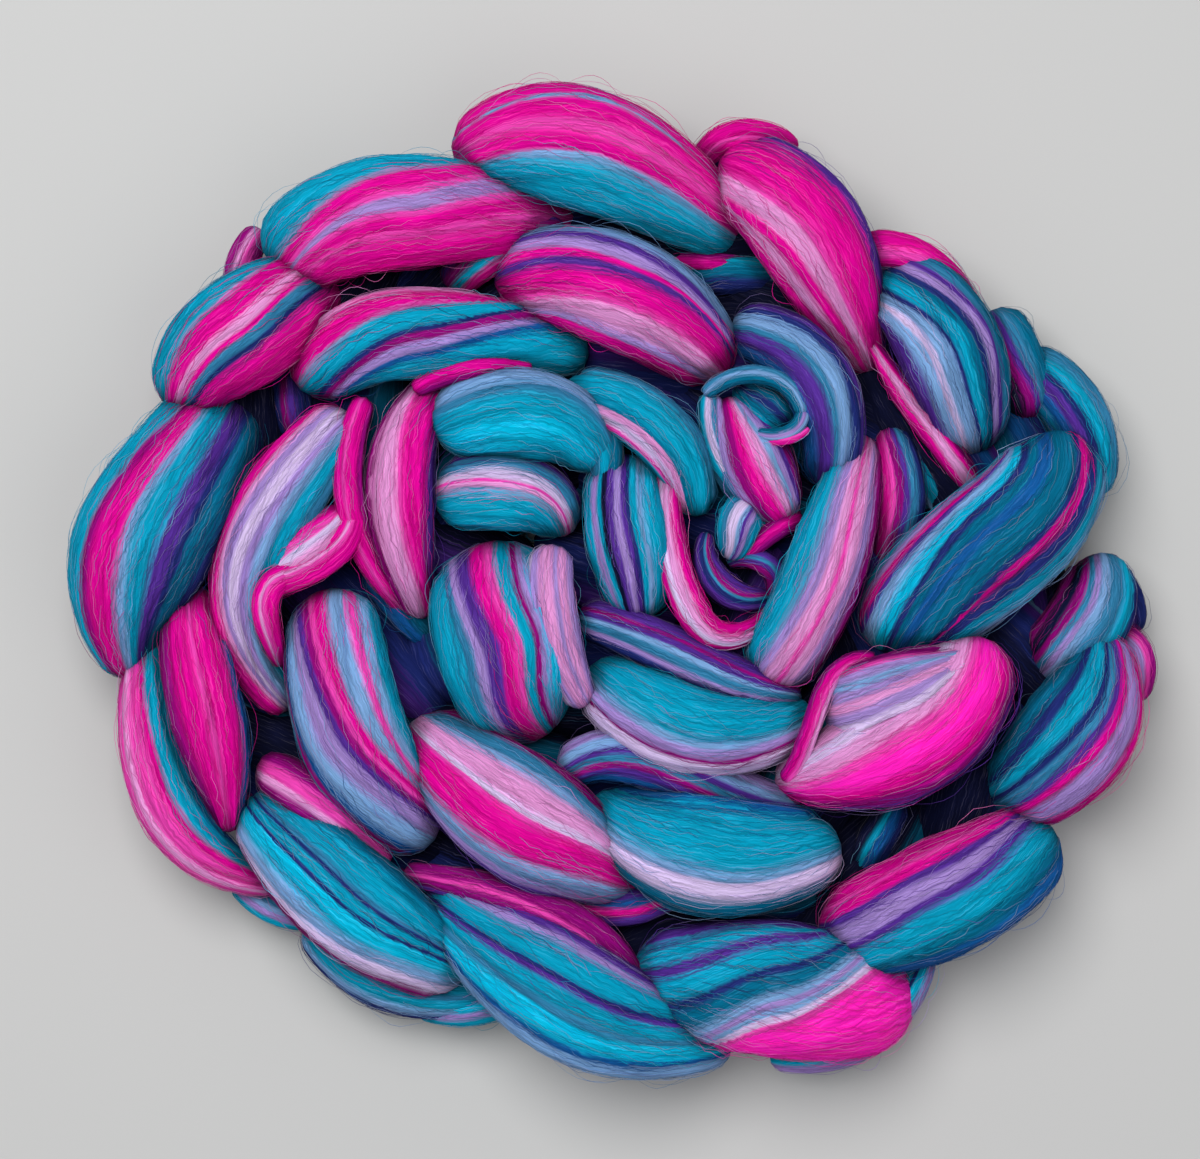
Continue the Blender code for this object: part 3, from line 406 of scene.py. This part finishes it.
def bandPlace(turn, s, angle, cap):
    # Where on the dyed bands a point lies. Seen from above it lies at (1 - cap * cos angle) / 2 of the
    # full width, so that the bands run straight on over a rounded end.
    # The bands' edges are blended from start through belly to end, and the point's share of its own
    # band gives its place on the belly and its place on the colour ramp.
    phases = turn["phases"]
    across = (1 - cap * np.cos(angle)) / 2
    sway = roving["sway"] * np.sin(2 * math.pi * (roving["swayTurns"] * s + phases[0, 0]))
    across = np.clip(across + sway * np.sin(math.pi * across), 0.001, 0.999)
    edges = turn["edges"]
    bellyEdges = np.clip(np.maximum.accumulate(edges[:, 1]), 0, 1)
    early, late = eased(np.clip(1 - 2 * s, 0, 1)), eased(np.clip(2 * s - 1, 0, 1))
    atBelly, onRamp, crease, high = 0, 0, 0, 0
    width = swell(s, turn["belly"], *turn["width"])
    count = len(turn["dyes"])
    for k in range(count):
        atStart, middle, atEnd = edges[k + 1]
        low, high = high, middle + (atStart - middle) * early + (atEnd - middle) * late
        high = np.clip(np.maximum(low, high), 0, 1)
        share = np.clip((across - low) / np.maximum(high - low, 1e-5), 0, 1)
        atBelly = atBelly + share * (bellyEdges[k + 1] - bellyEdges[k])
        onRamp = onRamp + share / count
        depth = np.minimum(roving["bandRelief"] * (high - low) * width, roving["deepestCrease"])
        inside = (share > 0) & (share < 1)
        crease = crease + np.where(inside, depth * (1 - np.sqrt(4 * share * (1 - share))), 0)
    around = np.arccos(np.clip(1 - 2 * atBelly, -1, 1)) / (2 * math.pi)
    return around, onRamp, crease


def woolSurface(turn, s, angle, lift=0.0):
    # centre(s) + left(s) * width/2 * cos angle + up * thickness/2 * sin angle, pushed out or in by the
    # bands' creases and by pleats, sums of sin(2 pi (n * around + phase)) that drift along the strand
    points, ways = centreLine(turn, s)
    width = swell(s, turn["belly"], *turn["width"])
    length = turn["travel"][-1]
    near = np.minimum(s / (turn["width"][0] / 2 / length), (1 - s) / (turn["width"][2] / 2 / length))
    cap = np.sqrt(np.clip(1 - (1 - np.clip(near, 0, 1)) ** 2, 0, 1))
    width = width * cap
    thickness = width * (roving["roundness"] - width / roving["roundLimit"])
    height = swell(s, turn["belly"], *turn["height"])
    around, onRamp, crease = bandPlace(turn, s, angle, cap)
    relief = -crease
    scale = min(1.0, turn["width"][1] / roving["fullWidth"])
    for (count, size), phase in zip(roving["pleats"], turn["phases"][1:]):
        sideRun = np.sin(2 * math.pi * (s * (roving["driftTurns"] + phase[0]) + phase[1]))
        drift = roving["pleatDrift"] * sideRun
        fadeRun = np.sin(2 * math.pi * (s * (roving["fadeTurns"] + phase[1]) + phase[2]))
        fade = roving["pleatFade"][0] + roving["pleatFade"][1] * fadeRun
        relief = relief + size * scale * fade * np.sin(2 * math.pi * (2 * count * around + phase[2] + drift))
    for dent in folds.get(turn["name"], ()):
        # a swelling or a hollow: deep * exp(-(s - at)^2 / long^2 - (across - side)^2 / wide^2)
        across = (1 - np.cos(angle)) / 2
        reach = ((s - dent["at"]) / dent["long"]) ** 2 + ((across - dent["side"]) / dent["wide"]) ** 2
        relief = relief + dent["deep"] * np.exp(-reach) * np.clip(0.5 + np.sin(angle), 0, 1)
    relief = relief * cap + lift
    left = np.stack((-ways[..., 1], ways[..., 0]), axis=-1)
    sideways = width / 2 * np.cos(angle) + relief * np.cos(angle)
    upwards = height + thickness / 2 * np.sin(angle) + relief * np.sin(angle)
    plan = points + left * sideways[..., None] + np.array(boxMiddle)
    rise = np.maximum(upwards - tableCut, 0.0)
    return np.concatenate((plan, rise[..., None]), axis=-1) * mm, around, onRamp


def newObject(name, points, faces):
    mesh = bpy.data.meshes.new(name)
    mesh.from_pydata(points.tolist(), [], faces)
    mesh.shade_smooth()
    piece = bpy.data.objects.new(name, mesh)
    bpy.context.scene.collection.objects.link(piece)
    return piece


def angles(count):
    # from the bottom round to the bottom again, closer together on top: -90 + 360 (x + closer * sin 360 x)
    even = np.linspace(0, 1, count + 1)
    return -math.pi / 2 + 2 * math.pi * (even + roving["closer"] * np.sin(2 * math.pi * even))


def turnPiece(turn, along, around):
    # a grid of s along and angle around, s being (1 - cos 180 x) / 4 + x / 2 so that it is closer at both
    # ends, which close in a fan of triangles on one point
    even = np.linspace(0, 1, along + 1)
    s = (1 - np.cos(even * math.pi)) / 4 + even / 2
    angle = angles(around)[:-1]
    sGrid, aGrid = np.meshgrid(s[1:-1], angle, indexing="ij")
    points, girthShare, ramp = woolSurface(turn, sGrid, aGrid)
    tips = woolSurface(turn, np.array((0.0, 1.0)), np.array((0.0, 0.0)))[0]
    rows = along - 1
    index = np.arange(rows * around).reshape(rows, around)
    beside = np.roll(index, -1, axis=1)
    quads = np.stack((index[:-1], beside[:-1], beside[1:], index[1:]), axis=-1).reshape(-1, 4)
    first, last = rows * around, rows * around + 1
    startFan = [(first, b, a) for a, b in zip(index[0], beside[0])]
    endFan = [(last, a, b) for a, b in zip(index[-1], beside[-1])]
    vertices = np.vstack((points.reshape(-1, 3), tips))
    piece = newObject(turn["name"], vertices, quads.tolist() + startFan + endFan)
    mesh = piece.data
    travel = np.interp(sGrid, measured, turn["travel"])
    place = np.stack((travel, girthShare * turn["girth"], ramp), axis=-1).reshape(-1, 3)
    onTop = turn["girth"] / 4  # a quarter of the way round is the middle of the top
    ends = np.array(((0.0, onTop, ramp[0].mean()), (turn["travel"][-1], onTop, ramp[-1].mean())))
    wool = mesh.attributes.new("wool", "FLOAT_VECTOR", "POINT")
    wool.data.foreach_set("vector", np.vstack((place, ends)).astype(np.float32).ravel())
    # a UV map, OFBake: s one way, the share round the girth the other
    corner = np.zeros(len(mesh.loops), int)
    mesh.loops.foreach_get("vertex_index", corner)
    count = len(quads) * 4
    rowOf, columnOf = np.divmod(corner[:count], around)
    columnOf = np.where((columnOf == 0) & np.isin(np.arange(count) % 4, (1, 2)), around, columnOf)
    u = s[1:-1][rowOf]
    v = columnOf / around
    fans = corner[count:].reshape(-1, 3)
    fanColumn = np.arange(len(fans)) % around
    atStart = np.arange(len(fans)) < around
    fanU = np.where(atStart[:, None], (0.0, s[1], s[1]), (1.0, s[-2], s[-2]))
    near, far = fanColumn / around, (fanColumn + 1) / around
    middle = (near + far) / 2
    fanV = np.where(atStart[:, None], np.stack((middle, far, near), 1), np.stack((middle, near, far), 1))
    uv = np.column_stack((np.concatenate((u, fanU.ravel())), np.concatenate((v, fanV.ravel()))))
    mesh.uv_layers.new(name="OFBake").data.foreach_set("uv", uv.astype(np.float32).ravel())
    return piece


def socket(tree, name, side, kind):
    tree.interface.new_socket(name=name, in_out=side, socket_type="NodeSocket" + kind)


def link(tree, source, target):
    tree.links.new(source, target)


def mathNode(tree, operation, first, second, third=None):
    node = tree.nodes.new("ShaderNodeMath")
    node.operation = operation
    for place, value in enumerate((first, second, third)):
        if isinstance(value, (int, float)):
            node.inputs[place].default_value = value
        elif value is not None:
            link(tree, value, node.inputs[place])
    return node.outputs[0]


# Combed wool. A noise has its scale along and around, its own distance from the seed, detail and roughness:
# the first two are waves for a mm, the others streaks in mm. The rest says what they do: how far they bend
# the streaks in mm, shift the bands, lighten them and raise the fibres.
combing = dict(crimp=(0.42, 0.35, 0.0, 2.0, 0.6), wander=(0.06, 0.08, 5.3, 1.0, 0.5),
               coarse=(38.0, 0.95, 11.7, 3.0, 0.6), fine=(9.0, 0.3, 23.1, 2.0, 0.6),
               stray=(38.0, 0.6, 37.9, 1.0, 0.5), crimpBend=1.1, wanderBend=1.8, strayUnder=0.36,
               strayOver=0.64, coarseShift=1.5, fineShift=0.9, strayShift=0.5, light=1.08, fineLight=1.6,
               coarseLight=0.9, paleFrom=0.56, paleTo=0.74, palest=0.06, fineHeight=0.7)
# Painted shade between turns, the colour darkened where wool rises round a point as ambient occlusion would
# darken it: cells in mm, the reach of its rings, and where it begins and is full
creviceShading = dict(cell=2.0, half=160.0, reach=(2.5, 5.0, 9.0), ways=10, clear=0.26, full=0.7, depth=0.55)


def combedFibresAndShade():
    # Fibres lie along the strand: noise stretched far along it and fine across it, its lines bent by
    # a short crimp and a slow wander. Place is mm along, mm around and the place on the bands; the shade
    # input, nought on top of a turn and one between two turns, takes the light down by its depth as painted
    # shade.
    tree = bpy.data.node_groups.new("combedFibresAndShade", "ShaderNodeTree")
    socket(tree, "Place", "INPUT", "Vector")
    for name in ("Seed", "PaintedShade"):
        socket(tree, name, "INPUT", "Float")
    for name in ("Shift", "Light", "Pale", "Height"):
        socket(tree, name, "OUTPUT", "Float")
    inside = tree.nodes.new("NodeGroupInput")
    outside = tree.nodes.new("NodeGroupOutput")
    parts = tree.nodes.new("ShaderNodeSeparateXYZ")
    link(tree, inside.outputs["Place"], parts.inputs[0])
    x, y = parts.outputs[0], parts.outputs[1]

    def noise(name, scaling, across):
        long, wide, apart, detail, roughness = combing[name]
        joined = tree.nodes.new("ShaderNodeCombineXYZ")
        link(tree, mathNode(tree, scaling, x, long), joined.inputs[0])
        link(tree, mathNode(tree, scaling, across, wide), joined.inputs[1])
        link(tree, mathNode(tree, "ADD", inside.outputs["Seed"], apart), joined.inputs[2])
        made = tree.nodes.new("ShaderNodeTexNoise")
        made.inputs["Scale"].default_value = 1.0
        made.inputs["Detail"].default_value = detail
        made.inputs["Roughness"].default_value = roughness
        link(tree, joined.outputs[0], made.inputs["Vector"])
        return made.outputs["Fac"]

    def addCentred(value, factor, base):
        # base + factor * (value - 0.5)
        return mathNode(tree, "MULTIPLY_ADD", mathNode(tree, "SUBTRACT", value, 0.5), factor, base)

    bent = addCentred(noise("crimp", "MULTIPLY", y), combing["crimpBend"], y)
    bent = addCentred(noise("wander", "MULTIPLY", y), combing["wanderBend"], bent)
    coarse = noise("coarse", "DIVIDE", bent)
    fine = noise("fine", "DIVIDE", bent)
    stray = noise("stray", "DIVIDE", bent)
    over = mathNode(tree, "GREATER_THAN", stray, combing["strayOver"])
    under = mathNode(tree, "LESS_THAN", stray, combing["strayUnder"])
    shift = mathNode(tree, "MULTIPLY", mathNode(tree, "SUBTRACT", over, under), combing["strayShift"])
    shift = addCentred(fine, combing["fineShift"], addCentred(coarse, combing["coarseShift"], shift))
    light = addCentred(fine, combing["fineLight"], combing["light"])
    light = addCentred(coarse, combing["coarseLight"], light)
    # painted shade: the fibres' light is taken down between turns
    shadeFactor = mathNode(tree, "MULTIPLY_ADD", inside.outputs["PaintedShade"], -creviceShading["depth"], 1.0)
    light = mathNode(tree, "MULTIPLY", light, shadeFactor)
    pale = tree.nodes.new("ShaderNodeMapRange")
    pale.interpolation_type = "SMOOTHSTEP"
    pale.inputs["From Min"].default_value = combing["paleFrom"]
    pale.inputs["From Max"].default_value = combing["paleTo"]
    pale.inputs["To Max"].default_value = combing["palest"]
    link(tree, fine, pale.inputs["Value"])
    height = mathNode(tree, "MULTIPLY_ADD", fine, combing["fineHeight"], coarse)
    for name, value in (("Shift", shift), ("Light", light), ("Pale", pale.outputs[0]), ("Height", height)):
        link(tree, value, outside.inputs[name])
    return tree


finish = dict(roughness=0.8, shine=0.06, relief=0.00035, bump=0.8, pure=(0.2, 0.8), mixing=0.34,
              seedStep=3.17, paleHair=(206, 198, 226))


def dyedWool(name, names, seed, group):
    # two colour stops for each band, its dye pure between them, and its edge frayed by the fibres that
    # stray into the next band
    material = bpy.data.materials.new(name)
    material.use_nodes = True
    tree = material.node_tree
    shader = tree.nodes["Principled BSDF"]
    place = tree.nodes.new("ShaderNodeAttribute")
    place.attribute_name = "wool"
    fibres = tree.nodes.new("ShaderNodeGroup")
    fibres.node_tree = group
    fibres.inputs["Seed"].default_value = seed * finish["seedStep"]
    link(tree, place.outputs["Vector"], fibres.inputs["Place"])
    parts = tree.nodes.new("ShaderNodeSeparateXYZ")
    link(tree, place.outputs["Vector"], parts.inputs[0])
    count = len(names)
    mixing = finish["mixing"] / count
    frayed = mathNode(tree, "MULTIPLY_ADD", fibres.outputs["Shift"], mixing, parts.outputs[2])
    ramp = tree.nodes.new("ShaderNodeValToRGB")
    stops = ramp.color_ramp.elements
    places = [(k + inset) / count for k in range(count) for inset in finish["pure"]]
    for where in places[1:-1]:
        stops.new(where)
    for number, where in enumerate(places):
        stops[number].position = where
        stops[number].color = (*linear(dyes[names[number // 2]]), 1)
    link(tree, frayed, ramp.inputs[0])
    # painted shade between turns, read from the wool's points
    paintedShade = tree.nodes.new("ShaderNodeAttribute")
    paintedShade.attribute_name = "paintedShade"
    link(tree, paintedShade.outputs["Fac"], fibres.inputs["PaintedShade"])
    scaled = tree.nodes.new("ShaderNodeVectorMath")
    scaled.operation = "SCALE"
    link(tree, ramp.outputs[0], scaled.inputs[0])
    link(tree, fibres.outputs["Light"], scaled.inputs["Scale"])
    hairs = tree.nodes.new("ShaderNodeMix")
    hairs.data_type = "RGBA"
    hairs.inputs[7].default_value = (*linear(finish["paleHair"]), 1)
    link(tree, fibres.outputs["Pale"], hairs.inputs[0])
    link(tree, scaled.outputs[0], hairs.inputs[6])
    link(tree, hairs.outputs[2], shader.inputs["Base Color"])
    bump = tree.nodes.new("ShaderNodeBump")
    bump.inputs["Strength"].default_value = finish["bump"]
    bump.inputs["Distance"].default_value = finish["relief"]
    link(tree, fibres.outputs["Height"], bump.inputs["Height"])
    link(tree, bump.outputs[0], shader.inputs["Normal"])
    shader.inputs["Roughness"].default_value = finish["roughness"]
    shader.inputs["Specular IOR Level"].default_value = finish["shine"]
    return material


def declare(piece):
    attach(piece, "root")
    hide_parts("braid")


def spotsOf(piece):
    spots = np.zeros(len(piece.data.vertices) * 3, np.float32)
    piece.data.vertices.foreach_get("co", spots)
    return spots.reshape(-1, 3) / mm  # in mm


def cellOf(points, grid):
    return np.clip(((points[..., :2] + creviceShading["half"]) / creviceShading["cell"]).astype(int), 0, len(grid) - 1)


def heightGrid(pieces):
    # the highest wool over each square cell of the table, in mm
    found = np.concatenate([spotsOf(piece) for piece in pieces])
    grid = np.zeros((int(2 * creviceShading["half"] / creviceShading["cell"]),) * 2)
    cell = cellOf(found, grid)
    np.maximum.at(grid, (cell[:, 0], cell[:, 1]), found[:, 2])
    return grid


def paintedCreviceShade(grid, points):
    # the mean of rise / reach over rings of spots round the point, drawn out to 0 .. 1 as a smooth step:
    # nought on top of a turn, one down between two turns, where the colour gets the most painted shade
    total = np.zeros(points.shape[:-1])
    for reach in creviceShading["reach"]:
        for turned in 2 * math.pi * np.arange(creviceShading["ways"]) / creviceShading["ways"]:
            cell = cellOf(points[..., :2] + reach * np.array((math.cos(turned), math.sin(turned))), grid)
            total = total + np.clip((grid[cell[..., 0], cell[..., 1]] - points[..., 2]) / reach, 0, 1)
    share = total / (len(creviceShading["reach"]) * creviceShading["ways"])
    share = np.clip((share - creviceShading["clear"]) / (creviceShading["full"] - creviceShading["clear"]), 0, 1)
    return share * share * (3 - 2 * share)


woolGroup = combedFibresAndShade()
woolPieces = []


def layTurns(turns, seed, gridOf):
    # one piece for each turn, on a grid of steps along and around it
    for number, turn in enumerate(turns):
        prepare(turn, seed + number)
        piece = turnPiece(turn, *gridOf(turn["width"][1]))
        piece.data.materials.append(dyedWool(turn["name"] + "Wool", turn["dyes"], turn["seed"], woolGroup))
        declare(piece)
        woolPieces.append(piece)


# Steps along and around for a wide turn, from wideFrom mm, a narrow one and a back
meshes = dict(wideFrom=15, wide=(52, 62), narrow=(34, 34), back=(24, 28))
seeds = dict(turns=100, backs=300, fibres=700)
allTurns = rimTurns + midTurns + heartTurns
layTurns(allTurns, seeds["turns"], lambda width: meshes["wide" if width >= meshes["wideFrom"] else "narrow"])
print("turns:", len(allTurns))

# Loose fibres over the turns: how many for a square mm, the shares and lengths in mm
fuzz = dict(perSquare=0.066, fewest=6, points=8, radius=(0.045, 0.075), thin=0.35, long=(8, 22), longest=0.8,
            ends=(0.02, 0.98), within=(0.01, 0.99), past=0.12, wave=0.4, waveLong=6.0, slant=1.7, lift=0.1,
            sunk=0.25, arc=0.6, loose=0.17, looseArc=3.4, astray=0.45, pale=0.22, paleShare=0.28,
            light=(0.8, 1.35))


def fibrePaths(turn, generator):
    # each fibre keeps its place on the width while it runs on; it waves sideways and arches off the
    # wool by arc * sin(pi * t), and the few loose ones arch much higher
    area = turn["travel"][-1] * turn["girth"]
    count = max(int(area * fuzz["perSquare"]), fuzz["fewest"])
    t = np.linspace(0, 1, fuzz["points"])[None, :]
    long = generator.uniform(*fuzz["long"], (count, 1)) / turn["travel"][-1]
    long = np.minimum(long, fuzz["longest"])
    start = generator.uniform(*fuzz["ends"], (count, 1)) - long / 2
    s = np.clip(start + long * t, *fuzz["within"])
    angle0 = generator.uniform(-fuzz["past"], math.pi + fuzz["past"], (count, 1))
    phase = generator.uniform(0, 2 * math.pi, (count, 2))
    run = s * turn["travel"][-1]
    width = swell(s, turn["belly"], *turn["width"])
    wave = fuzz["wave"] * np.sin(2 * math.pi * run / fuzz["waveLong"] + phase[:, :1])
    slant = generator.normal(0, fuzz["slant"], (count, 1)) * (t - 0.5)
    angle = angle0 + (wave + slant) / (width / 2)
    loose = generator.uniform(0, 1, (count, 1)) < fuzz["loose"]
    arc = np.where(loose, fuzz["looseArc"], fuzz["arc"]) * generator.uniform(0, 1, (count, 1)) ** 2
    lift = fuzz["lift"] + arc * np.sin(math.pi * t) - fuzz["sunk"] * (2 * t - 1) ** 4
    points, _, ramp = woolSurface(turn, s, angle, lift)
    return points, ramp


def dyeOf(turn, ramp, generator):
    # the dye under the fibre's middle, or now and then that of the next band, lighter or darker
    count = len(turn["dyes"])
    k = ramp[:, fuzz["points"] // 2] * count + generator.normal(0, fuzz["astray"], len(ramp))
    table = np.array([linear(dyes[name]) for name in turn["dyes"]])
    colour = table[np.clip(k.astype(int), 0, count - 1)]
    pale = generator.uniform(0, 1, (len(ramp), 1)) < fuzz["pale"]
    share = fuzz["paleShare"] * pale
    colour = colour * (1 - share) + linear(finish["paleHair"]) * share
    return colour * generator.uniform(*fuzz["light"], (len(ramp), 1))


def fibrePiece(name, turns, seed):
    # tubes of three sides: path + radius * (side * cos + lift * sin), radius tapering to both ends
    generator = np.random.default_rng(seed)
    paths, colours = [], []
    for turn in turns:
        points, ramp = fibrePaths(turn, generator)
        paths.append(points)
        colours.append(dyeOf(turn, ramp, generator))
    path, colour = np.concatenate(paths), np.concatenate(colours)
    count, steps = path.shape[:2]
    way = np.gradient(path, axis=1)
    way /= np.maximum(np.linalg.norm(way, axis=2, keepdims=True), 1e-9)
    side = np.cross(way, (0.0, 0.0, 1.0)) + (1e-6, 0, 0)
    side /= np.linalg.norm(side, axis=2, keepdims=True)
    top = np.cross(side, way)
    t = np.linspace(0, 1, steps)
    taper = fuzz["thin"] + (1 - fuzz["thin"]) * np.sin(math.pi * t)
    radius = generator.uniform(*fuzz["radius"], (count, 1)) * taper * mm
    turned = 2 * math.pi * np.arange(3) / 3
    ring = (side[:, :, None] * np.cos(turned)[:, None] + top[:, :, None] * np.sin(turned)[:, None])
    points = path[:, :, None] + ring * radius[:, :, None, None]
    index = np.arange(count * steps * 3).reshape(count, steps, 3)
    beside = np.roll(index, -1, axis=2)
    quads = np.stack((index[:, :-1], index[:, 1:], beside[:, 1:], beside[:, :-1]), axis=-1).reshape(-1, 4)
    caps = np.concatenate((index[:, 0], index[:, -1, ::-1]))
    piece = newObject(name, points.reshape(-1, 3), quads.tolist() + caps.tolist())
    spreadOut(piece.data, count, steps)
    # painted shade: each fibre's colour is darkened where it lies down between turns
    shadeFactor = 1 - creviceShading["depth"] * paintedCreviceShade(ground, path / mm)
    shade = np.concatenate((colour[:, None] * shadeFactor[..., None], np.ones((count, steps, 1))), axis=2)
    shade = np.repeat(shade.reshape(-1, 4), 3, axis=0)
    dyeAndShade = piece.data.attributes.new("dyeAndShade", "FLOAT_COLOR", "POINT")
    dyeAndShade.data.foreach_set("color", np.clip(shade, 0, 1).astype(np.float32).ravel())
    return piece


# Where a fibre's length, girth and two end caps lie in its square cell of the map
fibreCell = dict(long=(0.12, 0.88), girth=(0.08, 0.92), caps=(((0.1, 0.1), (0.1, 0.9), (0.02, 0.5)),
                                                              ((0.9, 0.1), (0.98, 0.5), (0.9, 0.9))))


def spreadOut(mesh, count, steps):
    # a UV map, OFBake: a square cell for each fibre, its length one way and its girth the other,
    # with the two end caps in the cell's margins
    across = math.ceil(math.sqrt(count))
    cell = np.stack((np.arange(count) % across, np.arange(count) // across), axis=-1)
    t, v = np.linspace(*fibreCell["long"], steps), np.linspace(*fibreCell["girth"], 4)
    low, high = np.meshgrid(t[:-1], v[:-1], indexing="ij"), np.meshgrid(t[1:], v[1:], indexing="ij")
    quad = np.stack((low[0], low[1], high[0], low[1], high[0], high[1], low[0], high[1]), axis=-1)
    quads = cell[:, None, None, :] + quad.reshape(1, -1, 4, 2)
    caps = cell[None, :, None, :] + np.array(fibreCell["caps"])[:, None]
    uv = np.concatenate((quads.reshape(-1, 2), caps.reshape(-1, 2))) / across
    mesh.uv_layers.new(name="OFBake").data.foreach_set("uv", uv.astype(np.float32).ravel())


fibreFinish = dict(roughness=0.55, shine=0.2, cloud=180.0, cloudSpan=0.8, darkest=0.6)


def fibreWool():
    # a fibre keeps its own dye with painted shade between turns in it, clouded a little along its length
    material = bpy.data.materials.new("looseFibre")
    material.use_nodes = True
    tree = material.node_tree
    shader = tree.nodes["Principled BSDF"]
    dyeAndShade = tree.nodes.new("ShaderNodeAttribute")
    dyeAndShade.attribute_name = "dyeAndShade"
    spot = tree.nodes.new("ShaderNodeTexCoord")
    noise = tree.nodes.new("ShaderNodeTexNoise")
    noise.inputs["Scale"].default_value = fibreFinish["cloud"]
    noise.inputs["Detail"].default_value = 1.0
    link(tree, spot.outputs["Object"], noise.inputs["Vector"])
    cloud = mathNode(tree, "MULTIPLY_ADD", noise.outputs["Fac"], fibreFinish["cloudSpan"],
                     fibreFinish["darkest"])
    scaled = tree.nodes.new("ShaderNodeVectorMath")
    scaled.operation = "SCALE"
    link(tree, dyeAndShade.outputs["Color"], scaled.inputs[0])
    link(tree, cloud, scaled.inputs["Scale"])
    link(tree, scaled.outputs[0], shader.inputs["Base Color"])
    shader.inputs["Roughness"].default_value = fibreFinish["roughness"]
    shader.inputs["Specular IOR Level"].default_value = fibreFinish["shine"]
    return material


def backTurns():
    # a back runs through the middle of two bellies, turned by the slant against the run of the braid
    byName = {turn["name"]: turn for turn in allTurns}
    found = list(crossings)
    for group in backsOf:
        names = group["turns"].split()
        for number, (name, after) in enumerate(zip(names, names[1:] + names[:1])):
            bellies = [centreLine(byName[n], np.array((byName[n]["belly"],)))[0][0] for n in (name, after)]
            middle = (bellies[0] + bellies[1]) / 2 * group["inset"]
            run = bellies[1] - bellies[0]
            heading = math.atan2(run[1], run[0]) - math.radians(backShape["slant"])
            half = (math.hypot(*run) + backShape["overlap"]) / 2
            reach = half * np.array((math.cos(heading), math.sin(heading)))
            wide, high = backShape["width"], backShape["height"]
            found.append(dict(name=name + "Back", start=middle - reach, end=middle + reach,
                              width=(wide / 2, wide, wide / 2), height=(high, high, high),
                              bands=group["bands"][number % len(group["bands"])]))
    return found


backs = backTurns()
layTurns(backs, seeds["backs"], lambda width: meshes["back"])
print("backs:", len(backs))

# painted shade: each wool point gets how far down between turns it lies, which darkens its colour there
ground = heightGrid(woolPieces)
for piece in woolPieces:
    shade = paintedCreviceShade(ground, spotsOf(piece))
    piece.data.attributes.new("paintedShade", "FLOAT", "POINT").data.foreach_set("value", shade.astype(np.float32))
print("hollows found")

looseWool = fibreWool()
groups = dict(rimFibresOne=rimTurns[:12], rimFibresTwo=rimTurns[12:24], rimFibresThree=rimTurns[24:],
              midFibresOne=midTurns[:16], midFibresTwo=midTurns[16:], heartFibres=heartTurns)
for number, (name, turns) in enumerate(groups.items()):
    piece = fibrePiece(name, turns, seeds["fibres"] + number)
    piece.data.materials.append(looseWool)
    declare(piece)
    print(name, len(piece.data.polygons), "faces")

studio = dict(floor=(0.6, 0.595, 0.585), floorSize=4.0, key=13.0, keySize=0.9, keyPlace=(-0.25, 0.4, 1.2),
              fill=2.2, fillSize=1.2, fillPlace=(0.6, -0.4, 1.0), sky=0.3, skyColour=(0.92, 0.96, 1.0),
              floorDrop=0.0003, floorRoughness=0.9)


def studioSet():
    half = studio["floorSize"] / 2
    corners = np.array(((-half, -half, 0), (half, -half, 0), (half, half, 0), (-half, half, 0)))
    floor = newObject("floor", corners - (0, 0, studio["floorDrop"]), [(0, 1, 2, 3)])
    material = bpy.data.materials.new("paleFloor")
    material.use_nodes = True
    shader = material.node_tree.nodes["Principled BSDF"]
    shader.inputs["Base Color"].default_value = (*studio["floor"], 1)
    shader.inputs["Roughness"].default_value = studio["floorRoughness"]
    floor.data.materials.append(material)
    for name in ("key", "fill"):
        lamp = bpy.data.lights.new(name, "AREA")
        lamp.shape = "DISK"
        lamp.size = studio[name + "Size"]
        lamp.energy = studio[name]
        holder = bpy.data.objects.new(name, lamp)
        holder.location = studio[name + "Place"]
        direction = -holder.location
        holder.rotation_euler = direction.to_track_quat("-Z", "Y").to_euler()
        bpy.context.scene.collection.objects.link(holder)
    world = bpy.data.worlds.new("sky")
    world.use_nodes = True
    world.node_tree.nodes["Background"].inputs[0].default_value = (*studio["skyColour"], 1)
    world.node_tree.nodes["Background"].inputs[1].default_value = studio["sky"]
    bpy.context.scene.world = world
    bpy.context.scene.view_settings.view_transform = "Standard"


view = dict(place=(-0.0030, 0.0011, 0.90), halfWidth=0.150, distance=0.865)


def overhead():
    # straight down: the picture spans twice halfWidth at that distance
    lens = bpy.data.cameras.new("overhead")
    lens.sensor_fit = "HORIZONTAL"
    lens.angle = 2 * math.atan(view["halfWidth"] / view["distance"])
    camera = bpy.data.objects.new("overhead", lens)
    camera.location = view["place"]
    bpy.context.scene.collection.objects.link(camera)
    bpy.context.scene.camera = camera


studioSet()
overhead()
print("studio set")
